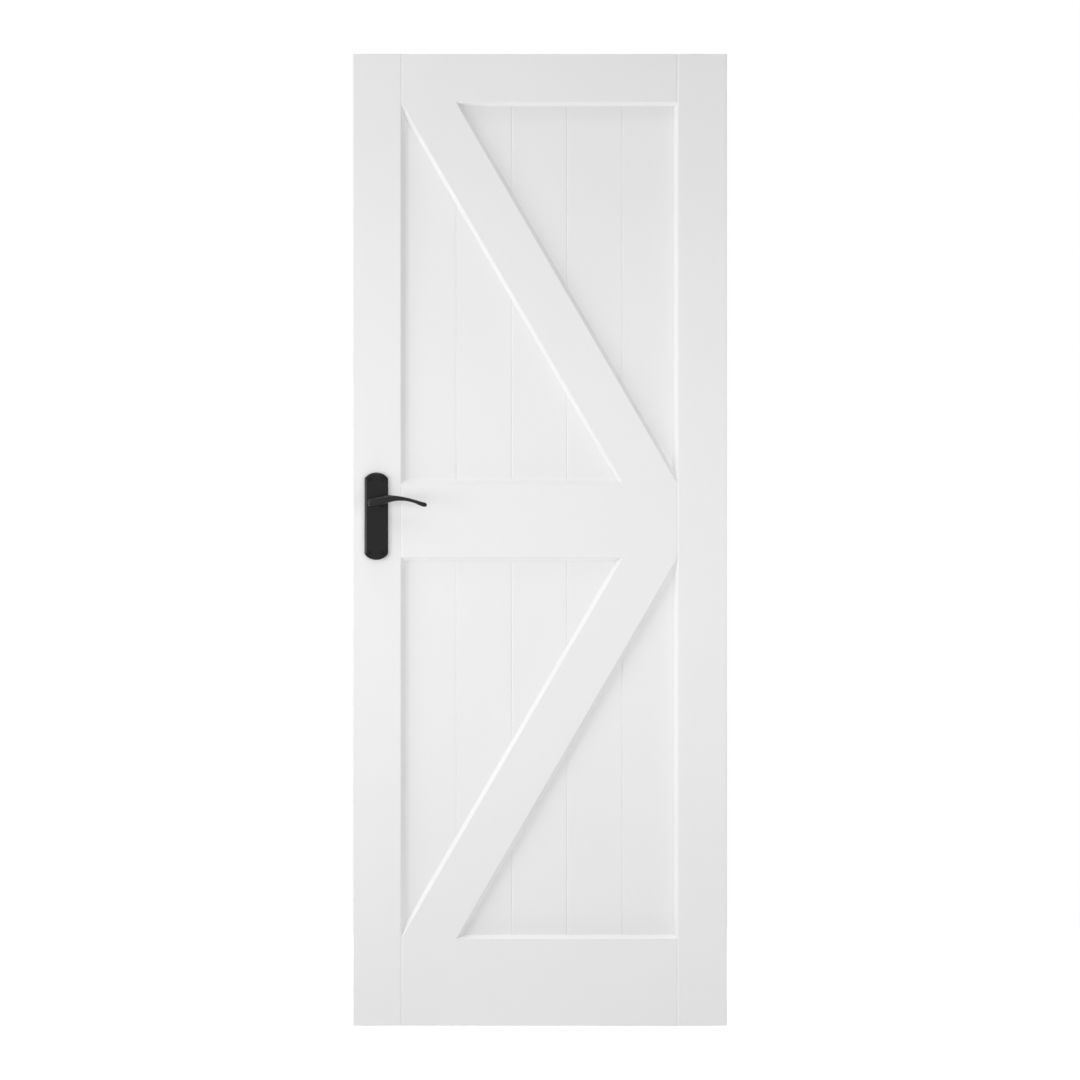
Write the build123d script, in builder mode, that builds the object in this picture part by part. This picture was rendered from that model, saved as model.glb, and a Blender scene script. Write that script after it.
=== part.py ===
from build123d import *
import os
from math import asin, atan2, degrees, hypot, sqrt

# A braced barn-style door leaf with a lever handle on each face.
# Millimetres. X runs across the leaf from the lock edge to the hinge edge, Y from the front face
# to the back face, and Z up. The origin is the middle of the hinge edge.

# Leaf
LEAF_WIDTH = 762.0
LEAF_HEIGHT = 1981.0
LEAF_THICKNESS = 35.0
ARRIS_RADIUS = 1.5

# Flat faces of the frame members, measured to the arris where the bevel starts
LOCK_STILE_WIDTH = 97.6
HINGE_STILE_WIDTH = 100.0
TOP_RAIL_WIDTH = 98.0
MIDDLE_RAIL_WIDTH = 148.0
BOTTOM_RAIL_WIDTH = 177.0
LOWER_OPENING_HEIGHT = 779.0

# Bevelled and grooved edge of a frame member
BEVEL_RUN = 8.0
GROOVE_DEPTH = 10.0
GROOVE_CLEARANCE = 0.2

# Joint between rail and stile
TENON_LENGTH = 30.0
TENON_SHOULDER = 14.0
TENON_END_GAP = 1.0
HAUNCH_HEIGHT = 30.0
JOINT_V_DEPTH = 1.0
JOINT_V_RUN = 2.2

# Tongued and grooved boards
BOARD_COUNT = 5
BOARD_THICKNESS = 12.0
BOARD_ENTRY = 8.0
BOARD_V_DEPTH = 0.9
BOARD_V_RUN = 1.6
TONGUE_LENGTH = 6.0
TONGUE_THICKNESS = 4.0
TONGUE_CLEARANCE = 0.2
TONGUE_END_GAP = 0.8

# Diagonal braces
BRACE_WIDTH = 96.4

# Place of the spindle on the lock stile
SPINDLE_FROM_LOCK_EDGE = 47.5
SPINDLE_FROM_BOTTOM = 1066.0

# Spindle and the hole for it through the stile
SPINDLE_SQUARE = 8.0
SPINDLE_END_CHAMFER = 0.8
SPINDLE_HOLE_RADIUS = 10.0
SOCKET_CLEARANCE = 0.1
SOCKET_DEPTH = 20.0
SOCKET_END_GAP = 0.5

# Handle plate
PLATE_WIDTH = 48.0
PLATE_HEIGHT = 178.0
PLATE_THICKNESS = 8.0
PLATE_END_RADIUS = 30.0
PLATE_CORNER_RADIUS = 6.0
PLATE_BEVEL_RUN = 4.5
PLATE_BEVEL_DEPTH = 3.0
PLATE_BELOW_SPINDLE = 27.0
SCREW_SPACING = 27.0
SCREW_FROM_PLATE_END = 14.5
SCREW_HOLE_RADIUS = 2.2
SCREW_SINK_RADIUS = 4.2

# Lever
JOURNAL_RADIUS = 9.0
JOURNAL_CLEARANCE = 0.3
COLLAR_RADIUS = 11.0
COLLAR_THICKNESS = 3.0
COLLAR_CHAMFER = 1.0
COLLAR_GAP = 0.3
NECK_FOOT_RADIUS = 8.6
NECK_RADIUS = 7.4
LEVER_STANDOFF = 36.0
LEVER_REACH = 104.0

# Each corner of the lever's forged section is bevelled by this share of its smaller side
FORGED_BEVEL = 0.27

# The lever from its rounded end to its tip. Each station has a share of the reach, the rise of its
# middle, how far it leans away from the leaf, its height and its depth.
LEVER_STATIONS = (
    (-0.158, 0.2, 0.0, 7.4, 7.0),
    (-0.134, 0.3, 0.0, 13.6, 12.5),
    (-0.070, 0.5, 0.0, 17.8, 17.0),
    (0.070, 2.8, 0.0, 18.8, 17.0),
    (0.240, 7.8, 0.0, 16.2, 14.5),
    (0.370, 8.9, -0.4, 11.2, 12.4),
    (0.500, 8.4, -0.8, 8.6, 10.8),
    (0.640, 6.2, -0.8, 7.0, 9.8),
    (0.780, 1.7, 0.0, 7.6, 9.2),
    (0.880, -1.9, 1.2, 9.2, 8.8),
    (0.970, -3.9, 2.4, 8.6, 7.6),
    (1.000, -4.1, 2.8, 5.6, 5.2),
)

# Places worked out from the sizes above
FACE_Y = LEAF_THICKNESS / 2
LEAF_BOTTOM = -LEAF_HEIGHT / 2
LEAF_TOP = LEAF_HEIGHT / 2
LEAF_MIDDLE_X = -LEAF_WIDTH / 2
OPENING_WIDTH = LEAF_WIDTH - LOCK_STILE_WIDTH - HINGE_STILE_WIDTH
OPENING_MIDDLE_X = -HINGE_STILE_WIDTH - OPENING_WIDTH / 2
LOWER_OPENING_BOTTOM = LEAF_BOTTOM + BOTTOM_RAIL_WIDTH
LOWER_OPENING_TOP = LOWER_OPENING_BOTTOM + LOWER_OPENING_HEIGHT
UPPER_OPENING_BOTTOM = LOWER_OPENING_TOP + MIDDLE_RAIL_WIDTH
UPPER_OPENING_TOP = LEAF_TOP - TOP_RAIL_WIDTH
CHEEK_Y = BOARD_THICKNESS / 2 + GROOVE_CLEARANCE
BEVEL_DEPTH = FACE_Y - CHEEK_Y
BEVEL_ANGLE = degrees(atan2(BEVEL_RUN, BEVEL_DEPTH))
SPINDLE_X = -LEAF_WIDTH + SPINDLE_FROM_LOCK_EDGE
SPINDLE_Z = LEAF_BOTTOM + SPINDLE_FROM_BOTTOM
PLATE_FRONT = FACE_Y + PLATE_THICKNESS
COLLAR_BACK = PLATE_FRONT + COLLAR_GAP
ARM_DISTANCE = PLATE_FRONT + LEVER_STANDOFF
SOCKET_BOTTOM = COLLAR_BACK + SOCKET_DEPTH
LEAF_MIDDLE_PLANE = Plane.YZ.offset(LEAF_MIDDLE_X)

os.makedirs("parts", exist_ok=True)


def finish(builder, name):
    """Label a finished piece and write it to its own file."""
    builder.part.label = name
    export_step(builder.part, f"parts/{name}.step")


def moulded_edge(arris, inward):
    """Points of a bevelled and grooved edge, from the front face round to the back face.

    arris is where the flat face ends and inward is the direction of the opening, 1 or -1.
    """
    lip = arris + inward * BEVEL_RUN
    floor = lip - inward * GROOVE_DEPTH
    return [
        (arris, -FACE_Y),
        (lip, -CHEEK_Y),
        (floor, -CHEEK_Y),
        (floor, CHEEK_Y),
        (lip, CHEEK_Y),
        (arris, FACE_Y),
    ]


def plain_edge(place):
    """Points of a square edge, from the front face round to the back face."""
    return [(place, -FACE_Y), (place, FACE_Y)]


# The whole leaf with its outer arrises eased. Stiles and rails are trimmed to it.
with BuildPart() as leaf_envelope:
    with Locations((LEAF_MIDDLE_X, 0, 0)):
        Box(LEAF_WIDTH, LEAF_THICKNESS, LEAF_HEIGHT)
    fillet(leaf_envelope.edges(), ARRIS_RADIUS)


# Stiles

# Lowest and highest level of each tenon
TENON_LEVELS = (
    (LEAF_BOTTOM + HAUNCH_HEIGHT, LOWER_OPENING_BOTTOM - TENON_SHOULDER),
    (LOWER_OPENING_TOP + TENON_SHOULDER, UPPER_OPENING_BOTTOM - TENON_SHOULDER),
    (UPPER_OPENING_TOP + TENON_SHOULDER, LEAF_TOP - HAUNCH_HEIGHT),
)


def joint_v_cutter(arris):
    """The small V along the rail joints of a stile on the lock side, on both faces, full length.

    arris is where the stile's flat face ends. The bottom of the V lies on the stile's bevel.
    """
    bottom = arris + BEVEL_RUN * JOINT_V_DEPTH / BEVEL_DEPTH
    with BuildPart() as cutter:
        with BuildSketch(Plane.XY.offset(LEAF_BOTTOM)):
            with BuildLine():
                Polyline(
                    (bottom, -FACE_Y + JOINT_V_DEPTH),
                    (bottom - 2 * JOINT_V_RUN, -FACE_Y - JOINT_V_DEPTH),
                    (bottom + 2 * JOINT_V_RUN, -FACE_Y - JOINT_V_DEPTH),
                    close=True,
                )
            make_face()
        extrude(amount=LEAF_HEIGHT)
        mirror(about=Plane.XZ)
    return cutter.part


def stile_on_lock_side(width):
    """A stile whose flat face has this width, mortised, with its outer arrises eased."""
    arris = -LEAF_WIDTH + width
    with BuildPart() as stile:
        with BuildSketch(Plane.XY.offset(LEAF_BOTTOM)):
            with BuildLine():
                Polyline(*moulded_edge(arris, 1), *reversed(plain_edge(-LEAF_WIDTH)), close=True)
            make_face()
        extrude(amount=LEAF_HEIGHT)
        for tenon_bottom, tenon_top in TENON_LEVELS:
            with Locations((arris, 0, tenon_bottom)):
                Box(
                    TENON_LENGTH,
                    2 * CHEEK_Y,
                    tenon_top - tenon_bottom,
                    align=(Align.MAX, Align.CENTER, Align.MIN),
                    mode=Mode.SUBTRACT,
                )
        add(joint_v_cutter(arris), mode=Mode.SUBTRACT)
        add(leaf_envelope.part, mode=Mode.INTERSECT)
    return stile.part


with BuildPart() as lock_stile:
    add(stile_on_lock_side(LOCK_STILE_WIDTH))
    with BuildSketch(Plane.XZ):
        with Locations((SPINDLE_X, SPINDLE_Z)):
            Circle(SPINDLE_HOLE_RADIUS)
    extrude(amount=LEAF_THICKNESS, both=True, mode=Mode.SUBTRACT)
finish(lock_stile, "lock_stile")

with BuildPart() as hinge_stile:
    add(mirror(stile_on_lock_side(HINGE_STILE_WIDTH), about=LEAF_MIDDLE_PLANE, mode=Mode.PRIVATE))
finish(hinge_stile, "hinge_stile")


# Rails

def make_rail(name, lower_edge, upper_edge, tenon_level):
    """A rail whose ends are coped over the stiles and tenoned into them.

    The edges are lists of points across the thickness, and tenon_level is the tenon's lowest and
    highest level.
    """
    tenon_bottom, tenon_top = tenon_level
    haunch_length = OPENING_WIDTH + 2 * (GROOVE_DEPTH - BEVEL_RUN - TENON_END_GAP)
    tenon_length = OPENING_WIDTH + 2 * (TENON_LENGTH - TENON_END_GAP)
    lock_v = joint_v_cutter(-LEAF_WIDTH + LOCK_STILE_WIDTH)
    hinge_v = joint_v_cutter(-LEAF_WIDTH + HINGE_STILE_WIDTH)
    with BuildPart() as rail:
        with BuildSketch(Plane.YZ.offset(OPENING_MIDDLE_X)):
            with BuildLine():
                outline = [(y, z) for z, y in lower_edge + list(reversed(upper_edge))]
                Polyline(*outline, close=True)
            make_face()
        extrude(amount=haunch_length / 2, both=True)
        with Locations((OPENING_MIDDLE_X, 0, tenon_bottom)):
            Box(
                tenon_length,
                2 * CHEEK_Y,
                tenon_top - tenon_bottom,
                align=(Align.CENTER, Align.CENTER, Align.MIN),
            )
        add(lock_v, mode=Mode.SUBTRACT)
        add(mirror(hinge_v, about=LEAF_MIDDLE_PLANE, mode=Mode.PRIVATE), mode=Mode.SUBTRACT)
        add(lock_stile.part, mode=Mode.SUBTRACT)
        add(hinge_stile.part, mode=Mode.SUBTRACT)
        add(leaf_envelope.part, mode=Mode.INTERSECT)
    finish(rail, name)


make_rail(
    "bottom_rail",
    plain_edge(LEAF_BOTTOM),
    moulded_edge(LOWER_OPENING_BOTTOM, 1),
    TENON_LEVELS[0],
)
make_rail(
    "middle_rail",
    moulded_edge(LOWER_OPENING_TOP, -1),
    moulded_edge(UPPER_OPENING_BOTTOM, 1),
    TENON_LEVELS[1],
)
make_rail(
    "top_rail",
    moulded_edge(UPPER_OPENING_TOP, -1),
    plain_edge(LEAF_TOP),
    TENON_LEVELS[2],
)


# Boards

PANEL_HALF_WIDTH = OPENING_WIDTH / 2 - BEVEL_RUN + BOARD_ENTRY
BOARD_PITCH = 2 * PANEL_HALF_WIDTH / BOARD_COUNT


def board_profile(left, right, first, last):
    """Section of one board, seen from above, with its V edges, tongue and groove."""
    half = BOARD_THICKNESS / 2
    tongue = TONGUE_THICKNESS / 2
    slot = tongue + TONGUE_CLEARANCE
    slot_floor = left + TONGUE_LENGTH + TONGUE_END_GAP
    left_side = [(left, half), (left, -half)]
    right_side = [(right, -half), (right, half)]
    if not first:
        left_side = [
            (left + BOARD_V_RUN, half),
            (left, half - BOARD_V_DEPTH),
            (left, slot),
            (slot_floor, slot),
            (slot_floor, -slot),
            (left, -slot),
            (left, -half + BOARD_V_DEPTH),
            (left + BOARD_V_RUN, -half),
        ]
    if not last:
        right_side = [
            (right - BOARD_V_RUN, -half),
            (right, -half + BOARD_V_DEPTH),
            (right, -tongue),
            (right + TONGUE_LENGTH, -tongue),
            (right + TONGUE_LENGTH, tongue),
            (right, tongue),
            (right, half - BOARD_V_DEPTH),
            (right - BOARD_V_RUN, half),
        ]
    return left_side + right_side


def make_boards(panel, opening_bottom, opening_top):
    """The upright boards of one panel, numbered from the lock side."""
    for number in range(1, BOARD_COUNT + 1):
        first = number == 1
        last = number == BOARD_COUNT
        left = (number - 1) * BOARD_PITCH - PANEL_HALF_WIDTH
        right = left + BOARD_PITCH
        with BuildPart() as board:
            with BuildSketch(Plane.XY.offset(opening_bottom + BEVEL_RUN - BOARD_ENTRY)):
                with Locations((OPENING_MIDDLE_X, 0)):
                    with BuildLine(mode=Mode.PRIVATE) as outline:
                        Polyline(*board_profile(left, right, first, last), close=True)
                    add(make_face(outline.edges(), mode=Mode.PRIVATE))
            extrude(amount=opening_top - opening_bottom - 2 * (BEVEL_RUN - BOARD_ENTRY))
        finish(board, f"{panel}_board_{number}")


make_boards("lower", LOWER_OPENING_BOTTOM, LOWER_OPENING_TOP)
make_boards("upper", UPPER_OPENING_BOTTOM, UPPER_OPENING_TOP)


# Braces

def brace_angle(opening_height):
    """Lean of a brace whose edges start from opposite corners of the opening."""
    diagonal = hypot(OPENING_WIDTH, opening_height)
    return degrees(atan2(opening_height, OPENING_WIDTH) + asin(BRACE_WIDTH / diagonal))


def make_braces(panel, opening_bottom, opening_top, lean):
    """The brace on each face of one panel, planted on the boards and flush with the frame.

    lean is 1 where the brace rises to the right seen from the front, and -1 where it falls.
    """
    opening_height = opening_top - opening_bottom
    cheek_plane = Plane.XZ.offset(CHEEK_Y)
    middle = (OPENING_MIDDLE_X, (opening_bottom + opening_top) / 2)

    with BuildPart() as opening_space:
        with BuildSketch(cheek_plane):
            with Locations(middle):
                Rectangle(OPENING_WIDTH - 2 * BEVEL_RUN, opening_height - 2 * BEVEL_RUN)
        extrude(opening_space.pending_faces[0], amount=-GROOVE_CLEARANCE)
        extrude(amount=BEVEL_DEPTH, taper=-BEVEL_ANGLE)

    with BuildPart() as front_brace:
        with BuildSketch(cheek_plane):
            with Locations(middle):
                Rectangle(
                    2 * opening_height,
                    BRACE_WIDTH + 2 * BEVEL_RUN,
                    rotation=lean * brace_angle(opening_height),
                )
        extrude(front_brace.pending_faces[0], amount=-GROOVE_CLEARANCE)
        extrude(amount=BEVEL_DEPTH, taper=BEVEL_ANGLE)
        add(opening_space.part, mode=Mode.INTERSECT)
    finish(front_brace, f"{panel}_brace_front")

    with BuildPart() as back_brace:
        mirror(front_brace.part, about=Plane.XZ)
    finish(back_brace, f"{panel}_brace_back")


make_braces("lower", LOWER_OPENING_BOTTOM, LOWER_OPENING_TOP, 1)
make_braces("upper", UPPER_OPENING_BOTTOM, UPPER_OPENING_TOP, -1)


# Handle plates

PLATE_Z = SPINDLE_Z - PLATE_BELOW_SPINDLE
PLATE_END_RISE = PLATE_END_RADIUS - sqrt(PLATE_END_RADIUS**2 - (PLATE_WIDTH / 2) ** 2)
SCREW_RISE = PLATE_HEIGHT - 2 * SCREW_FROM_PLATE_END

plate_back_plane = Plane(origin=(SPINDLE_X, -FACE_Y, PLATE_Z), x_dir=(1, 0, 0), z_dir=(0, -1, 0))
plate_front_plane = plate_back_plane.offset(PLATE_THICKNESS)

with BuildPart() as handle_plate_front:
    with BuildSketch(plate_back_plane) as plate_outline:
        half_width = PLATE_WIDTH / 2
        side_end = PLATE_HEIGHT / 2 - PLATE_END_RISE
        with BuildLine():
            Line((half_width, -side_end), (half_width, side_end))
            ThreePointArc((half_width, side_end), (0, PLATE_HEIGHT / 2), (-half_width, side_end))
            Line((-half_width, side_end), (-half_width, -side_end))
            ThreePointArc((-half_width, -side_end), (0, -PLATE_HEIGHT / 2), (half_width, -side_end))
        make_face()
        fillet(plate_outline.vertices(), PLATE_CORNER_RADIUS)
    extrude(amount=PLATE_THICKNESS)
    plate_face = handle_plate_front.faces().sort_by(Axis.Y)[0]
    chamfer(plate_face.edges(), PLATE_BEVEL_RUN, PLATE_BEVEL_DEPTH, reference=plate_face)
    with Locations(plate_front_plane):
        with Locations((0, PLATE_BELOW_SPINDLE)):
            Hole(JOURNAL_RADIUS + JOURNAL_CLEARANCE)
        with GridLocations(SCREW_SPACING, SCREW_RISE, 2, 2):
            CounterSinkHole(SCREW_HOLE_RADIUS, SCREW_SINK_RADIUS)
finish(handle_plate_front, "handle_plate_front")

with BuildPart() as handle_plate_back:
    mirror(handle_plate_front.part, about=Plane.XZ)
finish(handle_plate_back, "handle_plate_back")


# Levers and spindle

with BuildPart() as lever_front:
    for share, rise, lean, height, depth in LEVER_STATIONS:
        middle = (SPINDLE_X + share * LEVER_REACH, -ARM_DISTANCE - lean, SPINDLE_Z + rise)
        with BuildSketch(Plane(origin=middle, x_dir=(0, 1, 0), z_dir=(1, 0, 0))) as section:
            Rectangle(depth, height)
            chamfer(section.vertices(), FORGED_BEVEL * min(depth, height))
    loft()
    with BuildSketch(Plane(origin=(SPINDLE_X, 0, SPINDLE_Z), x_dir=(1, 0, 0), z_dir=(0, 0, 1))):
        collar_front = COLLAR_BACK + COLLAR_THICKNESS
        with BuildLine():
            Polyline(
                (0, -ARM_DISTANCE),
                (0, -FACE_Y - COLLAR_GAP),
                (JOURNAL_RADIUS, -FACE_Y - COLLAR_GAP),
                (JOURNAL_RADIUS, -COLLAR_BACK),
                (COLLAR_RADIUS, -COLLAR_BACK),
                (COLLAR_RADIUS, -collar_front + COLLAR_CHAMFER),
                (COLLAR_RADIUS - COLLAR_CHAMFER, -collar_front),
                (NECK_FOOT_RADIUS, -collar_front),
                (NECK_RADIUS, -ARM_DISTANCE),
                close=True,
            )
        make_face()
    revolve(axis=Axis((SPINDLE_X, 0, SPINDLE_Z), (0, 1, 0)))
    with Locations((SPINDLE_X, 0, SPINDLE_Z)):
        socket_width = SPINDLE_SQUARE + 2 * SOCKET_CLEARANCE
        Box(
            socket_width,
            SOCKET_BOTTOM,
            socket_width,
            align=(Align.CENTER, Align.MAX, Align.CENTER),
            mode=Mode.SUBTRACT,
        )
finish(lever_front, "lever_front")

with BuildPart() as lever_back:
    mirror(lever_front.part, about=Plane.XZ)
finish(lever_back, "lever_back")

with BuildPart() as spindle:
    with Locations((SPINDLE_X, 0, SPINDLE_Z)):
        Box(SPINDLE_SQUARE, 2 * (SOCKET_BOTTOM - SOCKET_END_GAP), SPINDLE_SQUARE)
    chamfer(spindle.faces().sort_by(Axis.Y)[0].edges(), SPINDLE_END_CHAMFER)
    chamfer(spindle.faces().sort_by(Axis.Y)[-1].edges(), SPINDLE_END_CHAMFER)
finish(spindle, "spindle")
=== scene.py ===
"""Looks of a white-painted, framed and braced barn-style door leaf with black lever handles.

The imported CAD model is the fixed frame. X runs from the lock edge to the hinge edge, Y from the
front face to the back face, Z up, all in metres.
"""

import logging
import math
from collections.abc import Callable
from dataclasses import dataclass, field
from enum import Enum

import bpy
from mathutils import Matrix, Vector


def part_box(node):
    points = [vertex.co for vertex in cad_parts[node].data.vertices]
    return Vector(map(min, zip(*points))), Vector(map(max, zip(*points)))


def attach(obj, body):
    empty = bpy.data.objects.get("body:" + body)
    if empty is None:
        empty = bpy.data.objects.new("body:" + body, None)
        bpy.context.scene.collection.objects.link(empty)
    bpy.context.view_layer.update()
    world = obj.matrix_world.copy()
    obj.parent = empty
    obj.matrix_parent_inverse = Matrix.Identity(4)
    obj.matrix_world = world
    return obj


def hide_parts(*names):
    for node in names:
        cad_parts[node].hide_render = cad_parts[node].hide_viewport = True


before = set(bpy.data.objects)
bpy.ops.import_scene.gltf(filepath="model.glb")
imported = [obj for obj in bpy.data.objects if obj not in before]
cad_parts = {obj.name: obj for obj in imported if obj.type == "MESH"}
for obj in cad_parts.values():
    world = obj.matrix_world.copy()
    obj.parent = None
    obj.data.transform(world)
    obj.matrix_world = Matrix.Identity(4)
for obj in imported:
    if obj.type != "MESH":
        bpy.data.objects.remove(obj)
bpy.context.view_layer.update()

Triple = tuple[float, float, float]
Profile = list[tuple[float, float]]

LOG = logging.getLogger("door_leaf")

# Metres in a millimetre.
MM = 0.001

# Points nearer to each other than this, in metres, are one point.
WELD = 1e-6

# A face looks along an axis where more than this of its unit normal points that way.
FACING = 0.9

# Countersunk screws and their holes widen by this many degrees.
COUNTERSINK = 82.0

# Edges that turn less than this are shaded smooth.
SMOOTH_ANGLE = math.radians(30)

# Most of a noise pattern lies between these two.
NOISE_LOW = 0.3
NOISE_HIGH = 0.7

# The Mix node's colour sockets, which share their names with its sockets for numbers.
FIRST_COLOUR = 6
SECOND_COLOUR = 7
MIXED_COLOUR = 2


def metres(x: float, y: float, z: float) -> Triple:
    """Turns three lengths from millimetres to metres."""
    return (x * MM, y * MM, z * MM)


def profile_in_metres(profile: Profile) -> Profile:
    """Turns a profile's points from millimetres to metres."""
    return [(radius * MM, along * MM) for radius, along in profile]


def box_round(*nodes: str) -> tuple[Vector, Vector]:
    """Finds the lowest and the highest corner of the box round several CAD nodes."""
    lows, highs = zip(*(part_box(node) for node in nodes))
    return Vector(tuple(map(min, zip(*lows)))), Vector(tuple(map(max, zip(*highs))))


def from_hex(colour: str) -> tuple[float, float, float, float]:
    """Turns an sRGB hex colour into the linear colour that shaders use.

    The numbers in it are those of the sRGB standard.

    Args:
        colour: Six hex digits after a hash sign.

    Returns:
        Red, green, blue and an alpha of one.
    """
    parts = [int(colour[start : start + 2], 16) / 255 for start in (1, 3, 5)]
    linear = [p / 12.92 if p <= 0.04045 else ((p + 0.055) / 1.055) ** 2.4 for p in parts]
    return (linear[0], linear[1], linear[2], 1.0)


def new_material(name: str) -> tuple[bpy.types.Material, bpy.types.Node]:
    """Starts a material.

    Args:
        name: The real material's common name and how its surface was made.

    Returns:
        The material and its main shader.
    """
    made = bpy.data.materials.new(name)
    made.use_nodes = True
    return made, made.node_tree.nodes["Principled BSDF"]


def add_node(
    tree: bpy.types.NodeTree,
    kind: str,
    settings: dict[str, object] | None = None,
    inputs: dict[str | int, object] | None = None,
) -> bpy.types.Node:
    """Adds one node, sets its own options, and fills or links its inputs.

    Args:
        tree: The node tree that gets the node.
        kind: Blender's name for the node type.
        settings: The node's own options by name.
        inputs: Values or other nodes' output sockets, by input name or number.

    Returns:
        The new node.
    """
    node = tree.nodes.new(kind)
    for option, value in (settings or {}).items():
        setattr(node, option, value)
    for socket, value in (inputs or {}).items():
        if isinstance(value, bpy.types.NodeSocket):
            tree.links.new(value, node.inputs[socket])
        else:
            node.inputs[socket].default_value = value
    return node


class Joining(Enum):
    """What becomes of a piece that is joined to another, in Blender's words."""

    ADDED = "UNION"
    CUT_AWAY = "DIFFERENCE"


class Piece:
    """One mesh piece, shaped in edit mode and with modifiers, as at a bench."""

    def __init__(self, body: bpy.types.Object, name: str) -> None:
        """Takes a mesh object to the bench.

        Args:
            body: The object that is shaped.
            name: The piece's name.
        """
        self.body = body
        body.name = name
        body.data.name = name

    @classmethod
    def point(cls, name: str, place: Triple) -> "Piece":
        """Starts a piece as one point, a small square merged at its centre.

        Args:
            name: The piece's name.
            place: Where the point is.

        Returns:
            The piece, in edit mode with the point selected.
        """
        bpy.ops.object.select_all(action="DESELECT")
        bpy.ops.mesh.primitive_plane_add(size=MM, location=(0.0, 0.0, 0.0))
        piece = cls(bpy.context.object, name)
        piece.open_up()
        bpy.ops.mesh.merge(type="CENTER")
        bpy.ops.mesh.select_mode(type="VERT")
        bpy.ops.mesh.select_all(action="SELECT")
        bpy.ops.transform.translate(value=place)
        return piece

    @classmethod
    def block(cls, name: str, centre: Triple, size: Triple) -> "Piece":
        """Starts a piece as a block.

        Args:
            name: The piece's name.
            centre: The block's middle.
            size: Its lengths along X, Y and Z.

        Returns:
            The piece, in object mode.
        """
        bpy.ops.object.select_all(action="DESELECT")
        bpy.ops.mesh.primitive_cube_add(size=1.0, location=centre)
        piece = cls(bpy.context.object, name)
        piece.open_up()
        piece.stretch(size, centre)
        bpy.ops.object.mode_set(mode="OBJECT")
        bpy.ops.object.transform_apply(location=True, rotation=True, scale=True)
        return piece

    @classmethod
    def turned(cls, name: str, profile: Profile, steps: int) -> "Piece":
        """Turns a profile round the Y axis, as on a lathe.

        Args:
            name: The piece's name.
            profile: Radius and place on Y of each point, from one end's middle to the other's.
            steps: How many steps the full turn takes.

        Returns:
            The closed piece, in object mode.
        """
        piece = cls.point(name, (profile[0][0], profile[0][1], 0.0))
        for (radius, along), (next_radius, next_along) in zip(profile, profile[1:]):
            piece.draw((next_radius - radius, next_along - along, 0.0))
        bpy.ops.mesh.select_all(action="SELECT")
        bpy.ops.mesh.spin(steps=steps, angle=math.tau, center=(0, 0, 0), axis=(0, 1, 0))
        piece.seal()
        return piece

    def twin(self, name: str) -> "Piece":
        """Copies the piece with a mesh of its own.

        Args:
            name: The copy's name.

        Returns:
            The copy.
        """
        copy = self.body.copy()
        copy.data = self.body.data.copy()
        bpy.context.scene.collection.objects.link(copy)
        return Piece(copy, name)

    def take_up(self) -> None:
        """Makes this the one selected and active object."""
        if bpy.context.mode != "OBJECT":
            bpy.ops.object.mode_set(mode="OBJECT")
        bpy.ops.object.select_all(action="DESELECT")
        self.body.select_set(True)
        bpy.context.view_layer.objects.active = self.body

    def open_up(self) -> None:
        """Takes the piece up into edit mode, with its whole mesh selected."""
        self.take_up()
        bpy.ops.object.mode_set(mode="EDIT")
        bpy.ops.mesh.select_all(action="SELECT")

    def choose(self, wanted: Callable[[Vector, Vector], bool]) -> None:
        """Selects faces by their middle and normal, and leaves the piece in edit mode.

        Args:
            wanted: Says whether a face with this middle and normal is selected.
        """
        self.take_up()
        bpy.ops.object.mode_set(mode="EDIT")
        bpy.ops.mesh.select_mode(type="FACE")
        bpy.ops.mesh.select_all(action="DESELECT")
        bpy.ops.object.mode_set(mode="OBJECT")
        for face in self.body.data.polygons:
            face.select = wanted(face.center, face.normal)
        bpy.ops.object.mode_set(mode="EDIT")

    def draw(self, step: Triple) -> None:
        """Extrudes what is selected by one step."""
        bpy.ops.mesh.extrude_region_move(TRANSFORM_OT_translate={"value": step})

    def stretch(self, factors: Triple, centre: Triple) -> None:
        """Resizes what is selected about a point."""
        bpy.ops.transform.resize(value=factors, center_override=centre)

    def place(self, move: Triple) -> None:
        """Moves the whole mesh, while the object stays at the origin.

        Args:
            move: How far it moves along X, Y and Z.
        """
        self.open_up()
        bpy.ops.transform.translate(value=move)
        bpy.ops.object.mode_set(mode="OBJECT")

    def face_the_back(self) -> None:
        """Mirrors the piece to the other face of the leaf."""
        self.open_up()
        self.stretch((1.0, -1.0, 1.0), (0.0, 0.0, 0.0))
        self.seal()

    def seal(self) -> None:
        """Merges doubled points and turns every face outwards."""
        self.open_up()
        bpy.ops.mesh.remove_doubles(threshold=WELD)
        bpy.ops.mesh.normals_make_consistent(inside=False)
        bpy.ops.object.mode_set(mode="OBJECT")

    def modify(self, kind: str, **settings: object) -> None:
        """Adds one modifier with its settings and applies it.

        Args:
            kind: Blender's name for the modifier type.
            settings: The modifier's options by name.
        """
        self.take_up()
        modifier = self.body.modifiers.new(kind.lower(), kind)
        for option, value in settings.items():
            setattr(modifier, option, value)
        bpy.ops.object.modifier_apply(modifier=modifier.name)

    def join(self, other: "Piece", how: Joining) -> None:
        """Adds another piece to this one, or cuts it away, and removes that other."""
        self.modify("BOOLEAN", object=other.body, operation=how.value, solver="EXACT")
        bpy.data.objects.remove(other.body)

    def smooth(self) -> None:
        """Shades the piece smooth, with its sharper edges and its large flats kept."""
        self.take_up()
        bpy.ops.object.shade_smooth_by_angle(angle=SMOOTH_ANGLE)
        self.modify("WEIGHTED_NORMAL", keep_sharp=True, weight=100)

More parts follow.
